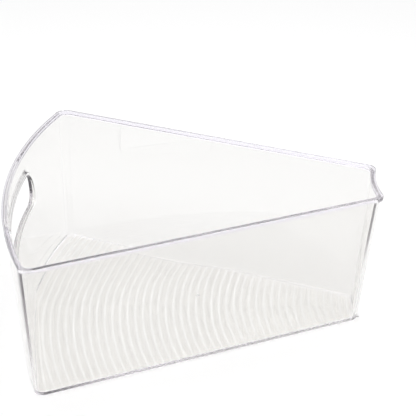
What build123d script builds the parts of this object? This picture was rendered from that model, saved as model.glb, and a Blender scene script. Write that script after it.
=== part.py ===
from build123d import *
import math
import os

# Driving dimensions, in mm. The wide, handled end points along +X and the narrow end along -X.
# The origin is at the middle of the overall footprint, on the surface the bin stands on.
overall_length = 260.2
overall_height = 102.0
half_angle = 24.3
narrow_half_width = 26.1
wide_end_radius = 354.0
narrow_end_radius = 95.0
rim_wide_corner = 8.0
rim_narrow_corner = 8.0

# How far the base sits inside the top of the walls, per side.
side_draft = 12.9
wide_draft = 7.9
narrow_draft = 8.9

# Plastic sections.
wall_thickness = 1.8
top_thickness = 2.4
thickening_start = 76.0
floor_thickness = 2.0
bottom_edge_round = 0.8
round_steps = 3
lip_overhang = 1.2
lip_height = 2.8
lip_round = 0.5

# Concentric ribs on the floor.
rib_spacing = 5.5
rib_width = 2.0
rib_height = 0.3

# Hand hole in the wide end, and the collar round it on the inside, which is deepest along its lower edge.
hole_width = 109.0
hole_height = 24.0
hole_corner = 10.0
hole_level = 72.0
collar_width = 2.8
collar_bottom_depth = 2.6
collar_top_depth = 0.9

# Where the moulding is divided into regions.
narrow_division = -110.0
wide_division = 90.0

slope = math.radians(half_angle)
reach = overall_length
wide_end_x = overall_length / 2
wide_centre_x = wide_end_x - wide_end_radius
collar_bottom = hole_level - hole_height / 2 - collar_width
collar_top = hole_level + hole_height / 2 + collar_width


def side_meets_arc(corner_x, centre_x, radius, inset):
    """Where a side that starts at the narrow corner, moved inwards by inset, crosses an end arc."""
    start_x = corner_x + inset * math.sin(slope)
    start_y = narrow_half_width - inset * math.cos(slope)
    along = (start_x - centre_x) * math.cos(slope) + start_y * math.sin(slope)
    gap = (start_x - centre_x) ** 2 + start_y**2 - radius**2
    travel = math.sqrt(along**2 - gap) - along
    return start_x + travel * math.cos(slope), start_y + travel * math.sin(slope)


# The narrow end's arc is centred outside the bin. Rounding its corners sets the two tips back a little,
# so the corner before rounding lies that much beyond the overall length.
narrow_centre_gap = math.sqrt(narrow_end_radius**2 - narrow_half_width**2)
centring_radius = narrow_end_radius + rim_narrow_corner
round_centre = side_meets_arc(0, -narrow_centre_gap, centring_radius, rim_narrow_corner)
tip_setback = round_centre[0] - rim_narrow_corner
narrow_corner_x = -overall_length / 2 - tip_setback
narrow_centre_x = narrow_corner_x - narrow_centre_gap


def wedge_outline(level, side_inset, wide_inset, narrow_inset, wide_corner, narrow_corner):
    """The wedge seen from above, drawn inside the rim's outer edge by the given insets."""
    wide_radius = wide_end_radius - wide_inset
    narrow_radius = narrow_end_radius + narrow_inset
    wide_x, wide_y = side_meets_arc(narrow_corner_x, wide_centre_x, wide_radius, side_inset)
    narrow_x, narrow_y = side_meets_arc(narrow_corner_x, narrow_centre_x, narrow_radius, side_inset)
    wide_middle = wide_centre_x + wide_radius
    narrow_middle = narrow_centre_x + narrow_radius
    with BuildSketch(Plane.XY.offset(level), mode=Mode.PRIVATE) as outline:
        with BuildLine():
            Line((narrow_x, narrow_y), (wide_x, wide_y))
            ThreePointArc((wide_x, wide_y), (wide_middle, 0), (wide_x, -wide_y))
            Line((wide_x, -wide_y), (narrow_x, -narrow_y))
            ThreePointArc((narrow_x, -narrow_y), (narrow_middle, 0), (narrow_x, narrow_y))
        make_face()
        fillet(outline.vertices().group_by(Axis.X)[-1], wide_corner)
        fillet(outline.vertices().group_by(Axis.X)[0], narrow_corner)
    return outline.sketch.face()


def wall_outline(level, depth):
    """The drafted wall at one height, depth mm in from its outer face."""
    drop = 1 - level / overall_height
    side_inset = lip_overhang + side_draft * drop + depth
    wide_inset = lip_overhang + wide_draft * drop + depth
    narrow_inset = lip_overhang + narrow_draft * drop + depth
    wide_corner = rim_wide_corner - 0.6 - 1.4 * drop - 0.7 * depth
    narrow_corner = rim_narrow_corner + 1.0 - 0.5 * drop - 0.4 * depth
    return wedge_outline(level, side_inset, wide_inset, narrow_inset, wide_corner, narrow_corner)


def rounded_edge_outline(fraction):
    """The outline of the floor part of the way up its rounded lower edge."""
    turn = fraction * math.pi / 2
    level = bottom_edge_round * (1 - math.cos(turn))
    return wall_outline(level, bottom_edge_round * (1 - math.sin(turn)))


def add_walls():
    """The whole drafted wall, thickened smoothly towards the rim, with the inside taken out."""
    base_face = wall_outline(floor_thickness, 0)
    rim_face = wall_outline(overall_height, 0)
    loft(sections=[base_face, rim_face], ruled=True)
    bottom_face = wall_outline(floor_thickness, wall_thickness)
    middle_face = wall_outline(thickening_start, wall_thickness)
    top_face = wall_outline(overall_height, top_thickness)
    loft(sections=[bottom_face, middle_face], ruled=True, mode=Mode.SUBTRACT)
    loft(sections=[middle_face, top_face], ruled=True, mode=Mode.SUBTRACT)


def keep_between(low_x, high_x, low_y, high_y):
    """Keep only the part of the walls inside this rectangle, seen from above."""
    with Locations(((low_x + high_x) / 2, (low_y + high_y) / 2, overall_height / 2)):
        Box(high_x - low_x, high_y - low_y, 2 * overall_height, mode=Mode.INTERSECT)


def fill_inside():
    """Solid up to the inner face of the walls."""
    bottom_face = wall_outline(floor_thickness, wall_thickness)
    middle_face = wall_outline(thickening_start, wall_thickness)
    top_face = wall_outline(overall_height, top_thickness)
    loft(sections=[bottom_face, middle_face], ruled=True)
    loft(sections=[middle_face, top_face], ruled=True)


def collar_inner_outline(level):
    """The collar's inner face at one height."""
    fraction = (level - collar_bottom) / (collar_top - collar_bottom)
    depth = collar_bottom_depth + (collar_top_depth - collar_bottom_depth) * fraction
    return wall_outline(level, wall_thickness + depth)


os.makedirs("parts", exist_ok=True)

# Floor: a plate with a rounded lower edge and concentric ribs on its upper face.
outer_rib_radius = wide_end_radius - lip_overhang - wide_draft - wall_thickness - rib_spacing
rib_count = int((overall_length - 4 * rib_spacing) / rib_spacing)
inner_floor = wall_outline(floor_thickness, wall_thickness)
with BuildPart() as floor_panel:
    for step in range(round_steps):
        lower_face = rounded_edge_outline(step / round_steps)
        upper_face = rounded_edge_outline((step + 1) / round_steps)
        loft(sections=[lower_face, upper_face], ruled=True)
    rounding_end = wall_outline(bottom_edge_round, 0)
    plate_top = wall_outline(floor_thickness, 0)
    loft(sections=[rounding_end, plate_top], ruled=True)
    with BuildSketch(Plane.XY.offset(floor_thickness)):
        with Locations((wide_centre_x, 0)):
            for number in range(rib_count):
                rib_radius = outer_rib_radius - number * rib_spacing
                Circle(rib_radius + rib_width / 2)
                Circle(rib_radius - rib_width / 2, mode=Mode.SUBTRACT)
        add(inner_floor, mode=Mode.INTERSECT)
    extrude(amount=rib_height)
floor_panel.part.label = "floor_panel"
export_step(floor_panel.part, "parts/floor_panel.step")

# The two long straight sides.
with BuildPart() as left_wall:
    add_walls()
    keep_between(narrow_division, wide_division, 0, reach)
left_wall.part.label = "left_wall"
export_step(left_wall.part, "parts/left_wall.step")

with BuildPart() as right_wall:
    add_walls()
    keep_between(narrow_division, wide_division, -reach, 0)
right_wall.part.label = "right_wall"
export_step(right_wall.part, "parts/right_wall.step")

# The narrow end with its two corners, hollowed to clear the middle of a turntable.
with BuildPart() as inner_end_wall:
    add_walls()
    keep_between(-reach, narrow_division, -reach, reach)
inner_end_wall.part.label = "inner_end_wall"
export_step(inner_end_wall.part, "parts/inner_end_wall.step")

# The wide end with its two corners and the hand hole.
with BuildPart() as handle_end_wall:
    add_walls()
    keep_between(wide_division, reach, -reach, reach)
    with BuildSketch(Plane.YZ.offset(wide_division)):
        with Locations((0, hole_level)):
            RectangleRounded(hole_width, hole_height, hole_corner)
    extrude(amount=reach, mode=Mode.SUBTRACT)
handle_end_wall.part.label = "handle_end_wall"
export_step(handle_end_wall.part, "parts/handle_end_wall.step")

# Collar: a raised band round the hand hole, on the inner face of the wide end.
band_length = hole_width + 2 * collar_width
band_height = hole_height + 2 * collar_width
with BuildPart() as grip_collar:
    fill_inside()
    lower_face = collar_inner_outline(collar_bottom - 1)
    upper_face = collar_inner_outline(collar_top + 1)
    loft(sections=[lower_face, upper_face], ruled=True, mode=Mode.SUBTRACT)
    with BuildSketch(Plane.YZ.offset(wide_division)):
        with Locations((0, hole_level)):
            RectangleRounded(band_length, band_height, hole_corner + collar_width)
            RectangleRounded(hole_width, hole_height, hole_corner, mode=Mode.SUBTRACT)
    extrude(amount=reach, mode=Mode.INTERSECT)
grip_collar.part.label = "grip_collar"
export_step(grip_collar.part, "parts/grip_collar.step")

# Lip: a rounded bead standing out from the top of the walls all the way round.
lip_bottom = overall_height - lip_height
rim_outline = wedge_outline(lip_bottom, 0, 0, 0, rim_wide_corner, rim_narrow_corner)
with BuildPart() as rim_lip:
    add(rim_outline)
    extrude(amount=lip_height)
    fillet(rim_lip.faces().sort_by(Axis.Z)[0].edges(), lip_round)
    fillet(rim_lip.faces().sort_by(Axis.Z)[-1].edges(), lip_round)
    base_face = wall_outline(floor_thickness, 0)
    top_face = wall_outline(overall_height, 0)
    loft(sections=[base_face, top_face], ruled=True, mode=Mode.SUBTRACT)
rim_lip.part.label = "rim_lip"
export_step(rim_lip.part, "parts/rim_lip.step")
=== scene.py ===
import math
import bmesh
import bpy
from mathutils import Matrix, Vector


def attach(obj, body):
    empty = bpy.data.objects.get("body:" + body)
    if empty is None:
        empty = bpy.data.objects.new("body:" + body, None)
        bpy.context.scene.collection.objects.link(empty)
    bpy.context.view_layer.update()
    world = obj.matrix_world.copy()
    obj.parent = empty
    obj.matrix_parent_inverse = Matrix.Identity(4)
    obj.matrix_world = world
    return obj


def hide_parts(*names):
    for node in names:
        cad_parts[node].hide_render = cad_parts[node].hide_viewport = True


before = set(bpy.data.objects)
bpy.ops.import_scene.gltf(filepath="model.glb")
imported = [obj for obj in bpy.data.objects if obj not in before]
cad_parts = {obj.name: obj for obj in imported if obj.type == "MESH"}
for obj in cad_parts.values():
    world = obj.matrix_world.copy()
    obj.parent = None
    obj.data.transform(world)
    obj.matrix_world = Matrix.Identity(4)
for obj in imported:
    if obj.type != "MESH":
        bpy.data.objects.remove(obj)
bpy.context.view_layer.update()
scene = bpy.context.scene
MM = 0.001

# Shape of the moulding in mm, as in the CAD model. +X is the wide, handled end.
LENGTH = 260.2
HEIGHT = 102.0
SLOPE = math.radians(24.3)
NARROW_HALF = 26.1
WIDE_RADIUS = 354.0
NARROW_RADIUS = 95.0
WIDE_CORNER = 8.0
NARROW_CORNER = 8.0
SIDE_DRAFT = 12.9
WIDE_DRAFT = 7.9
NARROW_DRAFT = 8.9
WALL = 1.8
WALL_TOP = 2.4
THICKEN_FROM = 76.0
FLOOR = 2.0
EDGE_ROUND = 0.8
LIP_OUT = 1.2
LIP_HIGH = 2.8
LIP_ROUND = 0.5
RIB_STEP = 5.5
RIB_HALF = 1.0
HOLE_WIDE = 109.0
HOLE_HIGH = 24.0
HOLE_CORNER = 10.0
HOLE_Z = 72.0
COLLAR = 2.8
COLLAR_LOW_DEPTH = 2.6
COLLAR_TOP_DEPTH = 0.9

# The walls' corner radii at the rim, what they lose down to the base, and what they lose per mm of depth.
WIDE_WALL_CORNER = WIDE_CORNER - 0.6
WIDE_DROP_LOSS = 1.4
WIDE_DEPTH_LOSS = 0.7
NARROW_WALL_CORNER = NARROW_CORNER + 1.0
NARROW_DROP_LOSS = 0.5
NARROW_DEPTH_LOSS = 0.4

# What only this mesh has, in mm: a cove round the floor, a lip that stays just inside the CAD box and
# has corners that tighten with depth, ribs that are lower and smoothly crowned, and a gate mark.
COVE = 0.8
LIP_INSIDE_BOX = 0.05
LIP_WIDE_LOSS = 0.7
LIP_NARROW_LOSS = 0.2
RIB_HIGH = 0.2
RIB_ROOT = 0.3
COLLAR_PROUD = 0.12
COLLAR_ROUND = 0.7
CUTTER_X = (95.0, 145.0)
GATE = (-3.0, -15.0)
GATE_PROFILE = ((1.3, -0.4), (1.3, 0.15), (1.0, 0.3), (0.5, 0.1))

# How finely the mesh is drawn.
SIDE_STEPS = 40
WIDE_STEPS = 40
CORNER_STEPS = 16
HOLLOW_STEPS = 16
OUTSIDE_STEPS = 12
INSIDE_STEPS = 9
CROWN_STEPS = 5
RIB_SEGMENT = 3.2
RIB_LEAST_STEPS = 12
COLLAR_ROUND_STEPS = 5
GATE_STEPS = 24
SHARP_ANGLE = math.radians(28)

# Where extra rings lie, in mm: beside each rounded edge, so that the flat next to it stays flat in the
# light, and down the top of the wall, where it thickens.
FLAT_NEAR = 0.4
FLAT_FAR = 1.5
OUTSIDE_START = EDGE_ROUND + 0.6
OUTSIDE_GAP = 0.3
LIP_UNDERSIDE = 0.25
LIP_FACE = 0.7
LIP_TOP = 0.5
COVE_GAP = 0.5
BELOW_RIM = (1.2, 3, 6, 10, 15, 20, 26)
EVEN_WALL_BELOW_RIM = 32


# ---- Outline of the wedge ----

def meets(corner_x, centre_x, radius, inset):
    """Where a side, moved inwards by inset, crosses an end arc."""
    start_x = corner_x + inset * math.sin(SLOPE)
    start_y = NARROW_HALF - inset * math.cos(SLOPE)
    along = (start_x - centre_x) * math.cos(SLOPE) + start_y * math.sin(SLOPE)
    gap = (start_x - centre_x) ** 2 + start_y**2 - radius**2
    travel = math.sqrt(along**2 - gap) - along
    return Vector((start_x + travel * math.cos(SLOPE), start_y + travel * math.sin(SLOPE)))


# The two end arcs' centres. Rounding the narrow corners sets the two tips back a little,
# so the corner before rounding lies that much beyond the length.
WIDE_CX = LENGTH / 2 - WIDE_RADIUS
NARROW_GAP = math.sqrt(NARROW_RADIUS**2 - NARROW_HALF**2)
SETBACK = meets(0, -NARROW_GAP, NARROW_RADIUS + NARROW_CORNER, NARROW_CORNER).x - NARROW_CORNER
NARROW_X = -LENGTH / 2 - SETBACK
NARROW_CX = NARROW_X - NARROW_GAP
FIRST_RIB = WIDE_RADIUS - LIP_OUT - WIDE_DRAFT - WALL - RIB_STEP


def polar(centre, radius, angle):
    return (centre[0] + radius * math.cos(angle), centre[1] + radius * math.sin(angle))


def mirrored(points):
    return [(x, -y) for x, y in points]


def corner_arc(centre, radius, start, end):
    """Points round a corner, from just after the start angle to the end angle."""
    turn = end - start
    return [polar(centre, radius, start + turn * i / CORNER_STEPS) for i in range(1, CORNER_STEPS + 1)]


def outline(side, wide, narrow, wide_round, narrow_round):
    """The wedge from above, inside the rim's edge by these insets, always as many points in one order."""
    wide_r = WIDE_RADIUS - wide
    narrow_r = NARROW_RADIUS + narrow
    wide_mid = meets(NARROW_X, WIDE_CX, wide_r - wide_round, side + wide_round)
    narrow_mid = meets(NARROW_X, NARROW_CX, narrow_r + narrow_round, side + narrow_round)
    out = Vector((-math.sin(SLOPE), math.cos(SLOPE)))
    start = narrow_mid + out * narrow_round
    end = wide_mid + out * wide_round
    side_angle = math.atan2(out.y, out.x)
    wide_angle = math.atan2(wide_mid.y, wide_mid.x - WIDE_CX)
    inward = math.atan2(-narrow_mid.y, NARROW_CX - narrow_mid.x) % (2 * math.pi)
    sweep = math.atan2(narrow_mid.y, narrow_mid.x - NARROW_CX)

    upper = [tuple(start.lerp(end, i / SIDE_STEPS)) for i in range(SIDE_STEPS + 1)]
    upper += corner_arc(wide_mid, wide_round, side_angle, wide_angle)
    for i in range(1, WIDE_STEPS + 1):
        upper.append(polar((WIDE_CX, 0), wide_r, wide_angle * (1 - i / WIDE_STEPS)))
    lower = mirrored(reversed(upper[:-1]))
    small = corner_arc(narrow_mid, narrow_round, side_angle, inward)
    hollow = []
    for i in range(1, HOLLOW_STEPS):
        hollow.append(polar((NARROW_CX, 0), narrow_r, sweep * (2 * i / HOLLOW_STEPS - 1)))
    return upper + lower + mirrored(small) + hollow + list(reversed(small))


def wall_ring(z, depth):
    """One ring of the drafted wall at height z, depth in from its outer face."""
    drop = 1 - z / HEIGHT
    base = LIP_OUT + depth
    points = outline(
        base + SIDE_DRAFT * drop,
        base + WIDE_DRAFT * drop,
        base + NARROW_DRAFT * drop,
        WIDE_WALL_CORNER - WIDE_DROP_LOSS * drop - WIDE_DEPTH_LOSS * depth,
        NARROW_WALL_CORNER - NARROW_DROP_LOSS * drop - NARROW_DEPTH_LOSS * depth,
    )
    return [(x, y, z) for x, y in points]


def lip_ring(z, depth):
    """One ring of the lip at height z, depth in from its outermost line."""
    inset = depth + LIP_INSIDE_BOX
    wide_round = WIDE_CORNER - LIP_WIDE_LOSS * inset
    narrow_round = NARROW_CORNER - LIP_NARROW_LOSS * inset
    return [(x, y, z) for x, y in outline(inset, inset, inset, wide_round, narrow_round)]


def thickness(z):
    """Wall thickness, growing towards the rim."""
    grown = max(0.0, (z - THICKEN_FROM) / (HEIGHT - THICKEN_FROM))
    return WALL + (WALL_TOP - WALL) * grown


def quarter(steps):
    """Sine and cosine through a quarter turn, for rounded edges."""
    angles = [math.pi / 2 * i / steps for i in range(steps + 1)]
    return [(math.sin(angle), math.cos(angle)) for angle in angles]


def outside_rings():
    """From the underside, round its edge and up the outer face of the walls."""
    rings = [wall_ring(0.0, EDGE_ROUND + FLAT_FAR), wall_ring(0.0, EDGE_ROUND + FLAT_NEAR)]
    rings += [wall_ring(EDGE_ROUND * (1 - c), EDGE_ROUND * (1 - s)) for s, c in quarter(6)]
    rise = HEIGHT - LIP_HIGH - OUTSIDE_GAP - OUTSIDE_START
    rings += [wall_ring(OUTSIDE_START + rise * i / OUTSIDE_STEPS, 0) for i in range(OUTSIDE_STEPS + 1)]
    return rings


def lip_rings():
    """Out under the lip, up its face, over its top and round its inner edge."""
    under = HEIGHT - LIP_HIGH
    inner = LIP_OUT + WALL_TOP
    rings = [lip_ring(under, LIP_OUT - LIP_UNDERSIDE)]
    rings += [lip_ring(under + LIP_ROUND * (1 - c), LIP_ROUND * (1 - s)) for s, c in quarter(4)]
    rings.append(lip_ring(HEIGHT - LIP_ROUND - LIP_FACE, 0))
    rings += [lip_ring(HEIGHT - LIP_ROUND * (1 - s), LIP_ROUND * (1 - c)) for s, c in quarter(5)]
    rings.append(lip_ring(HEIGHT, LIP_ROUND + LIP_TOP))
    rings.append(lip_ring(HEIGHT, inner - LIP_ROUND - LIP_TOP))
    rings += [lip_ring(HEIGHT - LIP_ROUND * (1 - c), inner - LIP_ROUND * (1 - s)) for s, c in quarter(5)]
    return rings


def inside_rings():
    """Down the inner face of the walls and round the cove to the floor."""
    rings = [wall_ring(HEIGHT - below, thickness(HEIGHT - below)) for below in BELOW_RIM]
    cove_top = FLOOR + COVE + COVE_GAP
    fall = HEIGHT - EVEN_WALL_BELOW_RIM - cove_top
    rings += [wall_ring(cove_top + fall * (1 - i / INSIDE_STEPS), WALL) for i in range(INSIDE_STEPS + 1)]
    rings += [wall_ring(FLOOR + COVE * (1 - s), WALL + COVE * (1 - c)) for s, c in quarter(6)]
    rings += [wall_ring(FLOOR, WALL + COVE + FLAT_NEAR), wall_ring(FLOOR, WALL + COVE + FLAT_FAR)]
    return rings


# ---- Meshes ----

def mesh_object(name, verts, faces):
    """An object in the scene from points in mm and faces, all facing outwards."""
    mesh = bpy.data.meshes.new(name)
    mesh.from_pydata([tuple(c * MM for c in v) for v in verts], [], faces)
    mesh.update()
    work = bmesh.new()
    work.from_mesh(mesh)
    bmesh.ops.recalc_face_normals(work, faces=work.faces)
    work.to_mesh(mesh)
    work.free()
    obj = bpy.data.objects.new(name, mesh)
    scene.collection.objects.link(obj)
    return obj


def skin(rings, loop=False):
    """Faces between rings of equal length. loop joins the last ring to the first, else both ends close."""
    size = len(rings[0])
    count = len(rings)
    verts = [point for ring in rings for point in ring]
    faces = []
    for r in range(count if loop else count - 1):
        a = r * size
        b = ((r + 1) % count) * size
        faces += [(a + i, a + (i + 1) % size, b + (i + 1) % size, b + i) for i in range(size)]
    if not loop:
        faces.append(tuple(range(size))[::-1])
        faces.append(tuple((count - 1) * size + i for i in range(size)))
    return verts, faces


def rib_section():
    """Across one rib: a root sunk into the floor, and a crown that rises and falls smoothly."""
    section = [(-RIB_HALF, -RIB_ROOT)]
    for i in range(2 * CROWN_STEPS + 1):
        rise = 0.5 - 0.5 * math.cos(math.pi * i / CROWN_STEPS)
        section.append((RIB_HALF * (i / CROWN_STEPS - 1), RIB_HIGH * rise))
    section.append((RIB_HALF, -RIB_ROOT))
    return section


def rib_bars():
    """Concentric ribs on the floor, their ends inside the side walls."""
    verts, faces = [], []
    section = rib_section()
    count = int((LENGTH - 4 * RIB_STEP) / RIB_STEP)
    middle_of_wall = LIP_OUT + SIDE_DRAFT * (1 - FLOOR / HEIGHT) + WALL / 2
    for number in range(count):
        radius = FIRST_RIB - number * RIB_STEP
        end = meets(NARROW_X, WIDE_CX, radius, middle_of_wall)
        sweep = math.atan2(end.y, end.x - WIDE_CX)
        steps = max(RIB_LEAST_STEPS, int(radius * sweep * 2 / RIB_SEGMENT))
        rings = []
        for i in range(steps + 1):
            angle = sweep * (1 - 2 * i / steps)
            rings.append([(*polar((WIDE_CX, 0), radius + du, angle), FLOOR + dz) for du, dz in section])
        bar_verts, bar_faces = skin(rings)
        base = len(verts)
        verts += bar_verts
        faces += [tuple(base + j for j in face) for face in bar_faces]
    return mesh_object("ribs", verts, faces)


def wide_surface(y, z):
    """A point on the outer face of the wide end wall, and the way out of the wall."""
    radius = WIDE_RADIUS - LIP_OUT - WIDE_DRAFT * (1 - z / HEIGHT)
    x = WIDE_CX + math.sqrt(radius**2 - y**2)
    return Vector((x, y, z)), Vector((x - WIDE_CX, y, 0)).normalized()


def hole_path(grow, per_corner=12, per_side=40, per_end=4):
    """The hand hole's outline as (y, z, outward y, outward z), grown by this many mm."""
    half_y = HOLE_WIDE / 2 - HOLE_CORNER
    half_z = HOLE_HIGH / 2 - HOLE_CORNER
    corners = [(half_y, half_z, 0), (-half_y, half_z, 90), (-half_y, -half_z, 180), (half_y, -half_z, 270)]
    spots = []
    for number, (cy, cz, start) in enumerate(corners):
        for i in range(per_corner + 1):
            angle = math.radians(start + 90 * i / per_corner)
            out = (math.cos(angle), math.sin(angle))
            spots.append((cy, cz, *out))
        next_y, next_z, _ = corners[(number + 1) % 4]
        steps = per_side if number % 2 == 0 else per_end
        for i in range(1, steps):
            part = i / steps
            spots.append((cy + (next_y - cy) * part, cz + (next_z - cz) * part, *out))
    far = HOLE_CORNER + grow
    return [(cy + far * oy, HOLE_Z + cz + far * oz, oy, oz) for cy, cz, oy, oz in spots]


def collar_depth(z):
    """How far the collar stands in from the wall's inner face, most along its lower edge."""
    low = HOLE_Z - HOLE_HIGH / 2 - COLLAR
    share = (z - low) / (HOLE_HIGH + 2 * COLLAR)
    return COLLAR_LOW_DEPTH + (COLLAR_TOP_DEPTH - COLLAR_LOW_DEPTH) * share


def collar_ring():
    """A rounded band round the hand hole that fills the cut edge and stands in from the wall."""
    rings = []
    for y, z, oy, oz in hole_path(0):
        front = -COLLAR_PROUD
        back = thickness(z) + collar_depth(z)
        middle = (front + back) / 2
        half = (back - front) / 2
        corners = [
            (COLLAR - COLLAR_ROUND, half - COLLAR_ROUND, 0),
            (COLLAR_ROUND, half - COLLAR_ROUND, 90),
            (COLLAR_ROUND, -half + COLLAR_ROUND, 180),
            (COLLAR - COLLAR_ROUND, -half + COLLAR_ROUND, 270),
        ]
        ring = []
        for across, deep, start in corners:
            for i in range(COLLAR_ROUND_STEPS + 1):
                angle = math.radians(start + 90 * i / COLLAR_ROUND_STEPS)
                u = across + COLLAR_ROUND * math.cos(angle)
                d = middle + deep + COLLAR_ROUND * math.sin(angle)
                point, out = wide_surface(y + oy * u, z + oz * u)
                ring.append(tuple(point - out * d))
        rings.append(ring)
    return mesh_object("collar", *skin(rings, loop=True))


def hole_cutter():
    """A plug that clears the wall where the collar's band takes over."""
    path = hole_path(COLLAR / 2)
    rings = [[(x, y, z) for y, z, _, _ in path] for x in CUTTER_X]
    return mesh_object("cutter", *skin(rings))


def gate_mark():
    """The small round stub left on the floor where the plastic was let into the mould."""
    rings = []
    for radius, above in GATE_PROFILE:
        angles = [2 * math.pi * i / GATE_STEPS for i in range(GATE_STEPS)]
        rings.append([(*polar(GATE, radius, angle), FLOOR + above) for angle in angles])
    return mesh_object("gate", *skin(rings))


def combine(target, other, operation):
    """Join other to target or cut it out of it, and leave only target."""
    join = target.modifiers.new("join", "BOOLEAN")
    join.operation = operation
    join.solver = "EXACT"
    join.object = other
    bpy.context.view_layer.update()
    depsgraph = bpy.context.evaluated_depsgraph_get()
    result = bpy.data.meshes.new_from_object(target.evaluated_get(depsgraph))
    target.modifiers.clear()
    target.data = result
    bpy.data.objects.remove(other)


# ---- Nodes ----

def math_node(tree, operation, *values):
    node = tree.nodes.new("ShaderNodeMath")
    node.operation = operation
    for socket, value in zip(node.inputs, values):
        if isinstance(value, (int, float)):
            socket.default_value = value
        else:
            tree.links.new(value, socket)
    return node.outputs[0]


def product(tree, *values):
    total = values[0]
    for value in values[1:]:
        total = math_node(tree, "MULTIPLY", total, value)
    return total


def inverted(tree, value):
    return math_node(tree, "SUBTRACT", 1.0, value)


def between(tree, value, low, high):
    """0 up to low, 1 from high, smooth between them."""
    node = tree.nodes.new("ShaderNodeMapRange")
    node.interpolation_type = "SMOOTHSTEP"
    node.inputs["From Min"].default_value = low
    node.inputs["From Max"].default_value = high
    tree.links.new(value, node.inputs["Value"])
    return node.outputs["Result"]


def window(tree, value, low, high, soft):
    """1 between low and high, fading to 0 over soft on either side of each."""
    rise = between(tree, value, low - soft, low + soft)
    fall = between(tree, value, high - soft, high + soft)
    return math_node(tree, "SUBTRACT", rise, fall)


def mixed(tree, share, first, second):
    """Two colours, given as tuples or sockets, mixed by a share from 0 to 1."""
    node = tree.nodes.new("ShaderNodeMix")
    node.data_type = "RGBA"
    tree.links.new(share, node.inputs["Factor"])
    for name, colour in (("A", first), ("B", second)):
        socket = [s for s in node.inputs if s.name == name and s.type == "RGBA"][0]
        if isinstance(colour, tuple):
            socket.default_value = (*colour, 1)
        else:
            tree.links.new(colour, socket)
    return [s for s in node.outputs if s.type == "RGBA"][0]


def colour_ramp(tree, value, stops):
    """The colour at value, from (place, colour) stops in rising order."""
    ramp = tree.nodes.new("ShaderNodeValToRGB")
    tree.links.new(value, ramp.inputs[0])
    elements = ramp.color_ramp.elements
    elements.remove(elements[1])
    elements[0].position = stops[0][0]
    elements[0].color = (*stops[0][1], 1)
    for place, colour in stops[1:]:
        elements.new(place).color = (*colour, 1)
    return ramp.outputs[0]


def noise(tree, where, scale, detail):
    node = tree.nodes.new("ShaderNodeTexNoise")
    node.inputs["Scale"].default_value = scale
    node.inputs["Detail"].default_value = detail
    tree.links.new(where, node.inputs["Vector"])
    return node.outputs["Fac"]


# ---- Clear plastic ----

PLASTIC_IOR = 1.57
ABSORPTION_COLOUR = (0.60, 0.52, 0.66)
ABSORPTION_DENSITY = 1.2

# What the surface lets through, by where it is, with painted light and shade: lighter crests, a violet rim
# and grey narrow corners.
WALL_TINT = (0.925, 0.920, 0.910)
FLOOR_TINT = (0.938, 0.932, 0.918)
# Painted light: the crests' lighter tint, standing in for the light that the ribs bend into lines on the
# floor.
CREST_PAINTED_LIGHT = (0.988, 0.988, 0.984)
# Painted shade: a violet darkening of the rim, standing in for the dark line that the lip shows as light
# bends through it.
RIM_PAINTED_SHADE = (0.920, 0.898, 0.968)
# Painted shade: grey on the narrow corners and the narrow end, standing in for the darker look that bent
# light gives them.
NARROW_PAINTED_SHADE = (0.84, 0.835, 0.83)

# Heights over which one tint gives way to the next, and a crest's edge from the middle of its rib.
FLOOR_ENDS = (2.6 * MM, 3.4 * MM)
BAND_ENDS = (98.2 * MM, 99.0 * MM)
RIM_STARTS = (98.8 * MM, 99.6 * MM)
CREST_EDGE = (0.35 * MM, 0.95 * MM)

# The corners' painted shade goes by the direction that the outer surface faces, in radians from +X seen from
# above.
# A wide corner turns from about 0.34 to 2.0, and a narrow one on from there. A band is a painted dark line of
# shade down a corner, given as lowest and highest direction and softness, with colours by the share of the
# height.
# The painted grey shade of a narrow corner runs from its start to where the surface faces along -X.
WIDE_BAND = (0.338, 0.90, 0.01)
NARROW_BAND = (2.035, 2.28, 0.02)
NARROW_BAND_STARTS = (42 * MM, 72 * MM)
NARROW_BAND_SHARE = 0.92
NARROW_PAINTED_SHADE_STARTS = (2.01, 2.11)
# Painted shade: the bands' colours darken up the corner, standing in for dark surroundings seen bent through
# the rounded plastic.
BAND_PAINTED_SHADE_COLOURS = (
    (0.12, (0.90, 0.88, 0.89)),
    (0.48, (0.20, 0.17, 0.19)),
    (0.80, (0.03, 0.024, 0.03)),
)

# Faint smears in the polish, a haze on the floor, and long waves in the surface.
SMEAR_SCALE = 22.0
SMEAR_DETAIL = 4.0
SMEAR_RANGE = (0.52, 0.78)
SMEAR_ROUGHNESS = 0.02
FLOOR_ROUGHNESS = 0.05
WAVE_SCALE = 30.0
WAVE_DETAIL = 1.0
WAVE_STRENGTH = 0.25
WAVE_HEIGHT = 0.3 * MM


def rib_crest(tree, x, y):
    """1 along the middle of each rib, seen from above, and 0 between them."""
    reach_x = math_node(tree, "SUBTRACT", x, WIDE_CX * MM)
    squares = math_node(tree, "ADD", product(tree, reach_x, reach_x), product(tree, y, y))
    inwards = math_node(tree, "SUBTRACT", FIRST_RIB * MM, math_node(tree, "SQRT", squares))
    offset = math_node(tree, "PINGPONG", inwards, RIB_STEP * MM / 2)
    return inverted(tree, between(tree, offset, *CREST_EDGE))


def outward_turn(tree, y):
    """The direction that the surface faces, the same for both sides of the bin, and 1 on its front."""
    geometry = tree.nodes.new("ShaderNodeNewGeometry")
    split = tree.nodes.new("ShaderNodeSeparateXYZ")
    tree.links.new(geometry.outputs["Normal"], split.inputs[0])
    outward = product(tree, split.outputs["Y"], math_node(tree, "SIGN", y))
    turn = math_node(tree, "ARCTAN2", outward, split.outputs["X"])
    front = inverted(tree, geometry.outputs["Backfacing"])
    return turn, front


def corner_painted_shade(tree, turn, z):
    """The share of the painted dark shade line down each corner, which ends under the lip."""
    wide = window(tree, turn, *WIDE_BAND)
    narrow = window(tree, turn, *NARROW_BAND)
    narrow = product(tree, narrow, between(tree, z, *NARROW_BAND_STARTS), NARROW_BAND_SHARE)
    below_lip = inverted(tree, between(tree, z, *BAND_ENDS))
    return product(tree, math_node(tree, "ADD", wide, narrow), below_lip)


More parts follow.
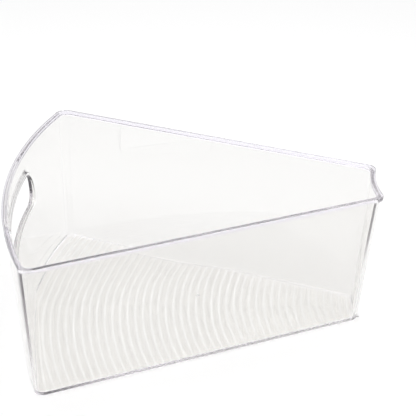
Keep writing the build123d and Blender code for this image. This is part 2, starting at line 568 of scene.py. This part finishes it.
def surface_tint_and_painted_light(tree, y, z, on_floor, crest):
    """Walls a little greyer than the floor, crests with painted light lines, a rim with painted violet shade,
    narrow corners with painted grey shade and the painted shade bands.
    """
    on_rim = between(tree, z, *RIM_STARTS)
    turn, front = outward_turn(tree, y)
    # Painted shade: the narrow corners and the hollow narrow end are greyed on their outer face.
    narrow_painted_shade = product(tree, between(tree, turn, *NARROW_PAINTED_SHADE_STARTS), front, inverted(tree, on_rim))
    # Painted shade: the dark bands down the corners, on the outer face only.
    band = product(tree, corner_painted_shade(tree, turn, z), front)
    band_shade_colour = colour_ramp(tree, math_node(tree, "DIVIDE", z, HEIGHT * MM), BAND_PAINTED_SHADE_COLOURS)
    # The crests' lighter tint is painted light, lines standing in for the light that the ribs bend.
    tint = mixed(tree, on_floor, WALL_TINT, mixed(tree, crest, FLOOR_TINT, CREST_PAINTED_LIGHT))
    # Painted shade: the rim's violet darkening.
    tint = mixed(tree, on_rim, tint, RIM_PAINTED_SHADE)
    tint = mixed(tree, narrow_painted_shade, tint, NARROW_PAINTED_SHADE)
    return mixed(tree, band, tint, band_shade_colour)


def surface_roughness(tree, place, on_floor, crest):
    """Polished, with faint smears, and a fine haze on the floor between the ribs' crests."""
    smears = between(tree, noise(tree, place, SMEAR_SCALE, SMEAR_DETAIL), *SMEAR_RANGE)
    polish = math_node(tree, "MULTIPLY", smears, SMEAR_ROUGHNESS)
    haze = product(tree, on_floor, inverted(tree, crest), FLOOR_ROUGHNESS)
    return math_node(tree, "ADD", polish, haze)


def surface_waves(tree, place):
    """Long gentle waves of the moulded surface."""
    bump = tree.nodes.new("ShaderNodeBump")
    bump.inputs["Strength"].default_value = WAVE_STRENGTH
    bump.inputs["Distance"].default_value = WAVE_HEIGHT
    tree.links.new(noise(tree, place, WAVE_SCALE, WAVE_DETAIL), bump.inputs["Height"])
    return bump.outputs[0]


def clear_plastic():
    mat = bpy.data.materials.new("clear_plastic")
    mat.use_nodes = True
    tree = mat.node_tree
    tree.nodes.clear()
    coord = tree.nodes.new("ShaderNodeTexCoord")
    place = coord.outputs["Object"]
    split = tree.nodes.new("ShaderNodeSeparateXYZ")
    tree.links.new(place, split.inputs[0])
    x, y, z = split.outputs
    on_floor = inverted(tree, between(tree, z, *FLOOR_ENDS))
    crest = rib_crest(tree, x, y)

    shader = tree.nodes.new("ShaderNodeBsdfPrincipled")
    shader.inputs["Transmission Weight"].default_value = 1.0
    shader.inputs["IOR"].default_value = PLASTIC_IOR
    tree.links.new(surface_tint_and_painted_light(tree, y, z, on_floor, crest), shader.inputs["Base Color"])
    tree.links.new(surface_roughness(tree, place, on_floor, crest), shader.inputs["Roughness"])
    tree.links.new(surface_waves(tree, place), shader.inputs["Normal"])

    absorption = tree.nodes.new("ShaderNodeVolumeAbsorption")
    absorption.inputs["Color"].default_value = (*ABSORPTION_COLOUR, 1)
    absorption.inputs["Density"].default_value = ABSORPTION_DENSITY

    out = tree.nodes.new("ShaderNodeOutputMaterial")
    tree.links.new(shader.outputs[0], out.inputs["Surface"])
    tree.links.new(absorption.outputs[0], out.inputs["Volume"])
    return mat


# ---- The bin ----

def make_bin():
    body = mesh_object("bin_moulding", *skin(outside_rings() + lip_rings() + inside_rings()))
    combine(body, hole_cutter(), "DIFFERENCE")
    combine(body, collar_ring(), "UNION")
    combine(body, rib_bars(), "UNION")
    combine(body, gate_mark(), "UNION")
    for polygon in body.data.polygons:
        polygon.use_smooth = True
    body.data.set_sharp_from_angle(angle=SHARP_ANGLE)
    body.data.materials.clear()
    body.data.materials.append(clear_plastic())
    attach(body, "root")
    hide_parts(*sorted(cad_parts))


# ---- Floor, light and camera ----

# The table, in mm. It lies just below the bin, so that the two don't touch.
TABLE_REACH = 9000.0
TABLE_BELOW = 0.4
TABLE_COLOUR = (0.92, 0.92, 0.92)
TABLE_ROUGHNESS = 0.9

# The room's colours, from level or below, at 0, to straight overhead, at 1.
ROOM_COLOURS = (
    (0.0, (0.70, 0.70, 0.70)),
    (0.35, (0.75, 0.75, 0.75)),
    (1.0, (1.0, 1.0, 1.0)),
)
ROOM_STRENGTH = 1.2

# The softbox, in metres and watts.
SOFTBOX_HEIGHT = 1.6
SOFTBOX_SIZE = 2.4
SOFTBOX_POWER = 60

# The camera's place in metres, its turns in radians, and its lens and sensor in mm.
CAMERA_PLACE = (-0.00443, 0.83579, 0.495)
CAMERA_TILT = 0.46
CAMERA_HEADING = 0.0073
CAMERA_ROLL = 0.0061
CAMERA_LENS = 114.8
CAMERA_SENSOR = 36.0


def make_table():
    ways = ((-1, -1), (1, -1), (1, 1), (-1, 1))
    corners = [(TABLE_REACH * x, TABLE_REACH * y, -TABLE_BELOW) for x, y in ways]
    table = mesh_object("stage_floor", corners, [(0, 1, 2, 3)])
    mat = bpy.data.materials.new("pale_floor")
    mat.use_nodes = True
    shader = mat.node_tree.nodes["Principled BSDF"]
    shader.inputs["Base Color"].default_value = (*TABLE_COLOUR, 1)
    shader.inputs["Roughness"].default_value = TABLE_ROUGHNESS
    table.data.materials.append(mat)


def make_world():
    """A soft pale room, a little darker towards the horizon."""
    world = bpy.data.worlds.new("studio")
    scene.world = world
    world.use_nodes = True
    tree = world.node_tree
    coord = tree.nodes.new("ShaderNodeTexCoord")
    split = tree.nodes.new("ShaderNodeSeparateXYZ")
    tree.links.new(coord.outputs["Generated"], split.inputs[0])
    background = tree.nodes["Background"]
    background.inputs["Strength"].default_value = ROOM_STRENGTH
    tree.links.new(colour_ramp(tree, split.outputs["Z"], ROOM_COLOURS), background.inputs["Color"])


def make_softbox():
    """A large square light straight above the bin, which shines down."""
    data = bpy.data.lights.new("overhead", "AREA")
    data.shape = "RECTANGLE"
    data.size = SOFTBOX_SIZE
    data.size_y = SOFTBOX_SIZE
    data.energy = SOFTBOX_POWER
    softbox = bpy.data.objects.new("overhead", data)
    scene.collection.objects.link(softbox)
    softbox.location = (0, 0, SOFTBOX_HEIGHT)
    softbox.rotation_mode = "QUATERNION"
    softbox.rotation_quaternion = Vector((0, 0, -1)).to_track_quat("-Z", "Y")


def make_camera():
    """Looks along -Y and down, at the side that has the wide end on its left."""
    data = bpy.data.cameras.new("camera")
    camera = bpy.data.objects.new("camera", data)
    scene.collection.objects.link(camera)
    scene.camera = camera
    data.sensor_width = CAMERA_SENSOR
    data.lens = CAMERA_LENS
    data.clip_start = 0.01
    data.clip_end = 100
    level = Vector((-math.sin(CAMERA_HEADING), -math.cos(CAMERA_HEADING), 0))
    ahead = level * math.cos(CAMERA_TILT) + Vector((0, 0, -math.sin(CAMERA_TILT)))
    roll = Matrix.Rotation(CAMERA_ROLL, 4, "Z").to_quaternion()
    camera.location = CAMERA_PLACE
    camera.rotation_mode = "QUATERNION"
    camera.rotation_quaternion = ahead.to_track_quat("-Z", "Y") @ roll


make_bin()
make_table()
make_world()
make_softbox()
make_camera()

# Clear plastic needs many internal reflections before its edges go pale, and no blurring of them.
scene.view_settings.view_transform = "Standard"
scene.view_settings.exposure = -1.05
scene.cycles.blur_glossy = 0.0
scene.cycles.sample_clamp_indirect = 0.0
scene.cycles.diffuse_bounces = 8
scene.cycles.glossy_bounces = 96
scene.cycles.transmission_bounces = 64
scene.cycles.max_bounces = 96
